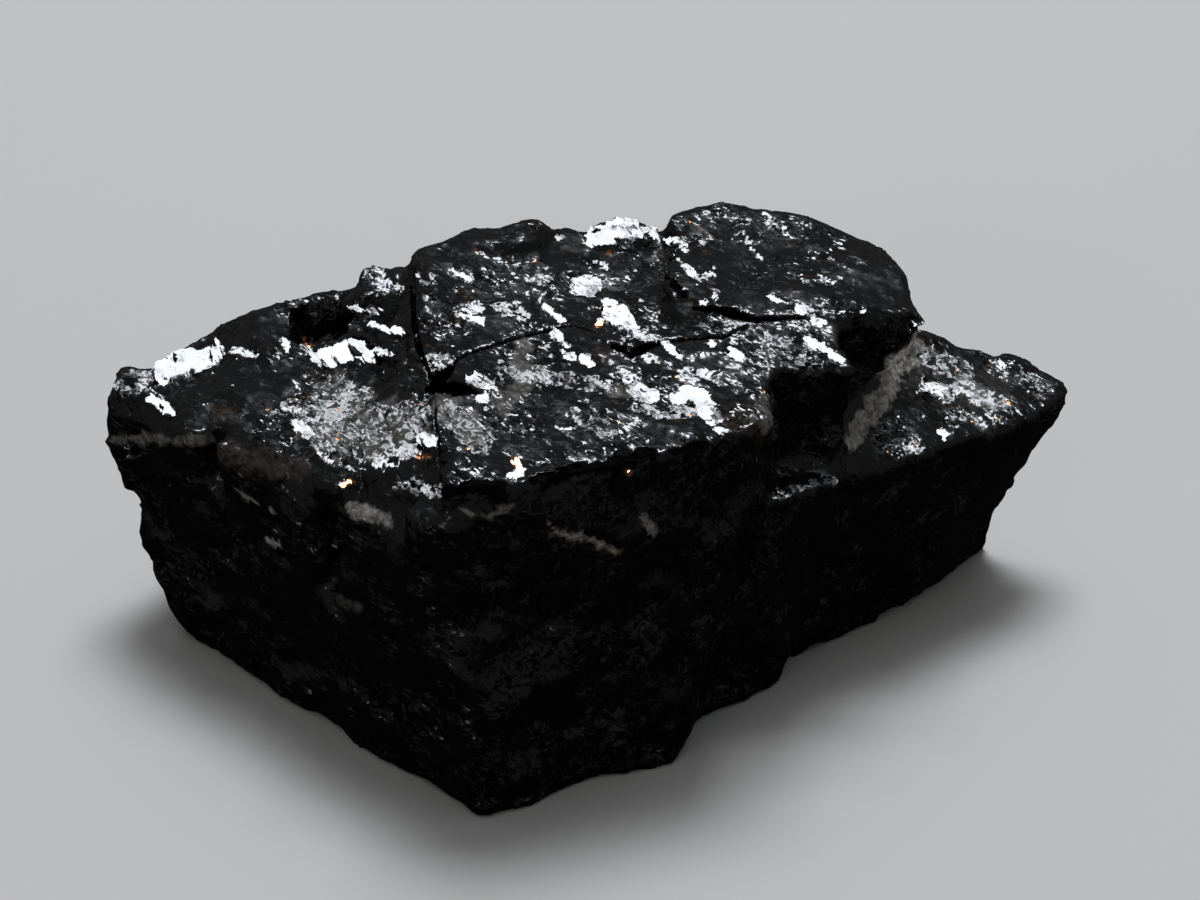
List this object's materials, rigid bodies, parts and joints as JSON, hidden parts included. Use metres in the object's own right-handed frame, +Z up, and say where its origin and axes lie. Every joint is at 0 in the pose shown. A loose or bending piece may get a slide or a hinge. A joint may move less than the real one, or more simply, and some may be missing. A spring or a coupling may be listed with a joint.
{
  "type": "rough elite shungite stone",
  "caption": "Rough lump of glassy black shungite: a long block with steep broken sides and a stepped, shell-scooped top. It rests on its flat underside.",
  "frame": {"origin": "centre of the stone's bounding box at its flat underside", "axes": "+X along the stone towards its pointed low end, +Y across it to the back, +Z up"},
  "size_m": [0.0562, 0.0274, 0.0245],
  "materials": {
    "elite_shungite": "glassy, freshly broken, with patches of fine dust"
  },
  "bodies": {
    "root": {"shungite": "elite_shungite"}
  },
  "joints": []
}
